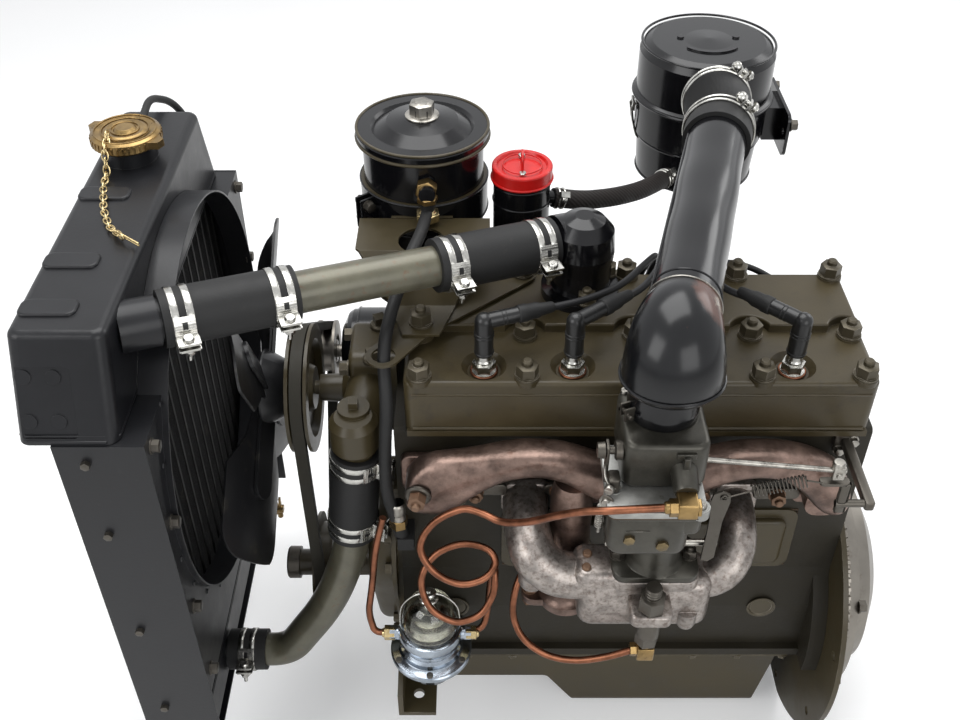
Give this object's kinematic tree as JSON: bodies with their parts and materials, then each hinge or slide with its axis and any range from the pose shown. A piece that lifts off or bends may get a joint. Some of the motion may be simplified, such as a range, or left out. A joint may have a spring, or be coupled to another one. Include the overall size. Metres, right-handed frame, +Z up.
{
  "type": "army 4x4 car engine with radiator",
  "caption": "Side-valve car engine with its radiator, hoses, fan, oil filter, carburettor, manifolds, fuel pump and a crossover tube to a round air cleaner.",
  "frame": {"origin": "centre of the engine's rear face, where the clutch housing bolts on, on the crankshaft's axis", "axes": "+X to the rear along the crankshaft, +Y to the car's right, +Z up"},
  "size_m": [0.9009, 0.696, 0.7763],
  "materials": {
    "olive_paint": "worn satin olive drab",
    "head_paint": "olive drab over rough casting",
    "gloss_black": "gloss black enamel",
    "radiator_black": "satin black",
    "core_black": "black painted tubes and fins",
    "hose_rubber": "matte with fabric grain",
    "belt_rubber": "matte",
    "manifold_iron": "heat-browned casting",
    "carburettor_metal": "dull grey-olive casting",
    "bright_zinc": "bright plated",
    "raw_steel": "machined",
    "pipe_steel": "olive-grey with rusty ends",
    "copper_tube": "dull copper",
    "brass": "dull brass",
    "red_enamel": "gloss red",
    "bowl_glass": "clear",
    "moulded_black": "moulded",
    "wire_rubber": "matte lead"
  },
  "bodies": {
    "engine": {"engine_block": "olive_paint", "valve_chest_cover": "olive_paint", "cylinder_head": "head_paint", "oil_pan": "olive_paint", "front_engine_plate": "olive_paint", "timing_cover": "olive_paint", "rear_engine_plate": "olive_paint", "fan_belt": "belt_rubber", "generator": "gloss_black", "generator_bracket": "olive_paint", "starter_motor": "gloss_black", "water_pump": "olive_paint", "exhaust_manifold": "manifold_iron", "intake_manifold": "manifold_iron", "carburettor": "carburettor_metal", "throttle_linkage": "bright_zinc", "air_horn": "gloss_black", "crossover_tube": "gloss_black", "crossover_hose": "hose_rubber", "air_cleaner": "gloss_black", "oil_filter": "gloss_black", "oil_filter_bracket": "olive_paint", "lifting_plate": "olive_paint", "oil_filter_hoses": "hose_rubber", "oil_filler_tube": "olive_paint", "breather_hose": "hose_rubber", "fuel_pump": "bright_zinc", "fuel_bowl": "bowl_glass", "fuel_line": "copper_tube", "fuel_inlet_line": "copper_tube", "vent_line": "copper_tube", "spark_plugs": "bright_zinc", "plug_caps": "moulded_black", "ignition_leads": "wire_rubber", "distributor": "moulded_black", "ignition_coil": "gloss_black", "water_outlet": "gloss_black", "upper_hoses": "hose_rubber", "upper_pipe": "pipe_steel", "lower_hoses": "hose_rubber", "lower_pipe": "pipe_steel", "hose_clamps": "bright_zinc", "radiator_top_tank": "radiator_black", "radiator_cap": "brass", "radiator_core": "core_black", "radiator_bottom_tank": "radiator_black", "radiator_side_straps": "radiator_black", "fan_shroud": "radiator_black", "overflow_hose": "hose_rubber"},
    "crankshaft": {"crank_pulley": "olive_paint", "flywheel": "raw_steel"},
    "fan_assembly": {"fan": "olive_paint", "fan_pulley": "olive_paint"},
    "generator_rotor": {"generator_pulley": "raw_steel"},
    "filler_cap": {"oil_filler_cap": "red_enamel"}
  },
  "joints": [
    {"name": "crankshaft_turn", "type": "hinge", "parent": "engine", "child": "crankshaft", "pos_m": [0, 0, 0], "axis": [1, 0, 0], "continuous": true},
    {"name": "fan_turn", "type": "hinge", "parent": "engine", "child": "fan_assembly", "pos_m": [-0.613, 0, 0.305], "axis": [1, 0, 0], "continuous": true},
    {"name": "generator_turn", "type": "hinge", "parent": "engine", "child": "generator_rotor", "pos_m": [-0.613, 0.176, 0.214], "axis": [1, 0, 0], "continuous": true},
    {"name": "filler_cap_lift", "type": "slide", "parent": "engine", "child": "filler_cap", "axis": [0, 0, 1], "range_m": [0, 0.32]}
  ],
  "couplings": [
    {"joint": "fan_turn", "follows": "crankshaft_turn", "ratio": 0.90411},
    {"joint": "generator_turn", "follows": "crankshaft_turn", "ratio": 1.65}
  ]
}
